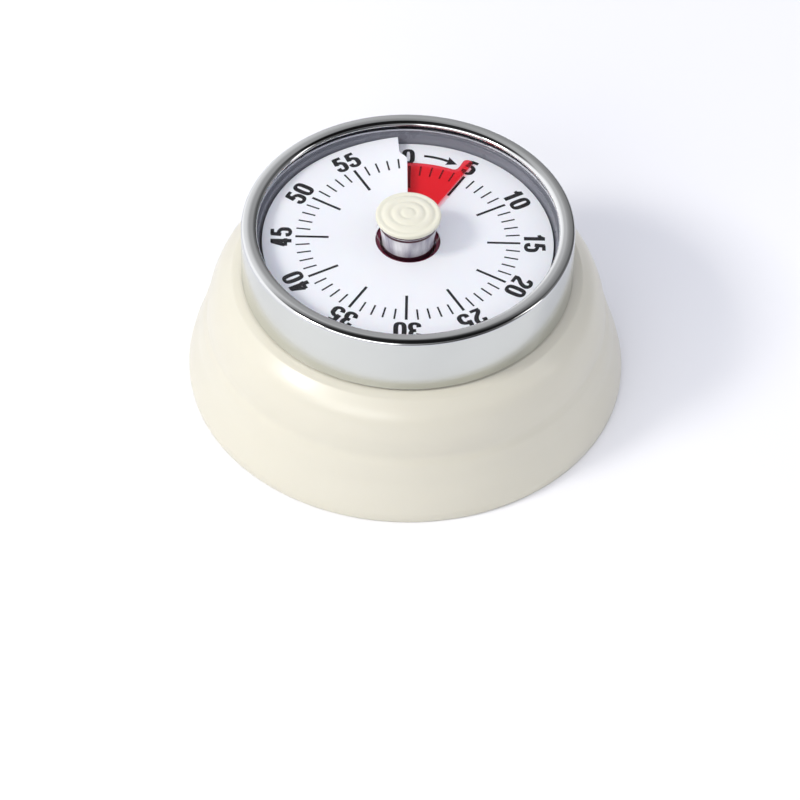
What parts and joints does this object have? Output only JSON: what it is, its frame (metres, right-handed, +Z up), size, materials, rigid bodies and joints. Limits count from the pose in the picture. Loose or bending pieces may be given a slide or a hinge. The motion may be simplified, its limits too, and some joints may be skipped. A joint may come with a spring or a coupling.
{
  "type": "kitchen timer",
  "caption": "Round clockwork kitchen timer with a wavy cream case, chrome bezel, white spiral dial, red time disc and central knob.",
  "frame": {"origin": "centre of the foot ring, on the surface the timer lies on", "axes": "+Z up through the dial, +Y towards 0 on the dial, +X towards 15 minutes"},
  "size_m": [0.07, 0.07, 0.0332],
  "materials": {
    "cream_case": "glossy",
    "chrome_trim": "polished",
    "clear_cover": "polished",
    "grey_ring": "satin",
    "dial_film": "satin",
    "red_film": "translucent",
    "clear_barrel": "polished",
    "cream_knob": "satin",
    "steel": "machined",
    "plate_steel": "zinc plated",
    "spring_steel": "blued",
    "bell_steel": "plated",
    "brass": "machined",
    "nylon": "moulded",
    "magnet": "sintered",
    "foot_rubber": "matte"
  },
  "bodies": {
    "case": {"body_shell": "cream_case", "bezel_ring": "chrome_trim", "crystal": "clear_cover", "dial_ring": "grey_ring", "dial": "dial_film", "upper_plate": "plate_steel", "lower_plate": "plate_steel", "plate_pillars": "brass", "plate_screws": "steel", "movement_screws": "steel", "mainspring": "spring_steel", "spring_post": "steel", "bell": "bell_steel", "bell_post": "brass", "bell_screw": "steel", "back_cover": "cream_case", "back_cover_screws": "steel", "magnet_ring": "magnet", "magnet_keeper": "plate_steel", "foot_ring": "foot_rubber", "hammer_spring": "spring_steel"},
    "knob": {"knob_cap": "cream_knob", "knob_barrel": "clear_barrel", "main_arbor": "steel", "great_wheel": "brass", "ratchet_wheel": "steel", "click": "steel", "alarm_cam": "brass", "arbor_collar": "steel"},
    "red_disc": {"time_disc": "red_film"},
    "second": {"second_arbor": "steel", "second_wheel": "nylon"},
    "third": {"third_arbor": "steel", "third_wheel": "nylon"},
    "escape": {"escape_arbor": "steel", "escape_wheel": "nylon"},
    "pallet": {"pallet_arbor": "steel", "pallet_anchor": "brass", "balance_bar": "brass"},
    "hammer": {"hammer_arbor": "steel", "hammer_tail": "plate_steel", "hammer_arm": "plate_steel", "hammer_head": "brass"}
  },
  "joints": [
    {"name": "knob_turn", "type": "hinge", "parent": "case", "child": "knob", "pos_m": [0, 0, 0.03], "axis": [0, 0, -1], "range_deg": [-29.6, 318.4]},
    {"name": "disc_climb", "type": "slide", "parent": "knob", "child": "red_disc", "axis": [0, 0, 1], "range_m": [-0.0001, 0.00106]},
    {"name": "second_spin", "type": "hinge", "parent": "case", "child": "second", "pos_m": [0, 0.0112, 0.0184], "axis": [0, 0, -1], "continuous": true},
    {"name": "third_spin", "type": "hinge", "parent": "case", "child": "third", "pos_m": [0.006, 0.0112, 0.0184], "axis": [0, 0, -1], "continuous": true},
    {"name": "escape_spin", "type": "hinge", "parent": "case", "child": "escape", "pos_m": [0.00986, 0.0066, 0.0184], "axis": [0, 0, -1], "continuous": true},
    {"name": "pallet_rock", "type": "hinge", "parent": "case", "child": "pallet", "pos_m": [0.01431, 0.00215, 0.0184], "axis": [0, 0, 1], "range_deg": [-3, 3]},
    {"name": "hammer_swing", "type": "hinge", "parent": "case", "child": "hammer", "pos_m": [-0.01776, -0.00828, 0.012], "axis": [0, 0, 1], "range_deg": [-3.2, 2], "stiffness_Nm_per_rad": 0.0002}
  ],
  "couplings": [
    {"joint": "disc_climb", "follows": "knob_turn", "m_per_rad": 0.00019099},
    {"joint": "second_spin", "follows": "knob_turn", "ratio": -6},
    {"joint": "third_spin", "follows": "knob_turn", "ratio": 24},
    {"joint": "escape_spin", "follows": "knob_turn", "ratio": -96}
  ]
}
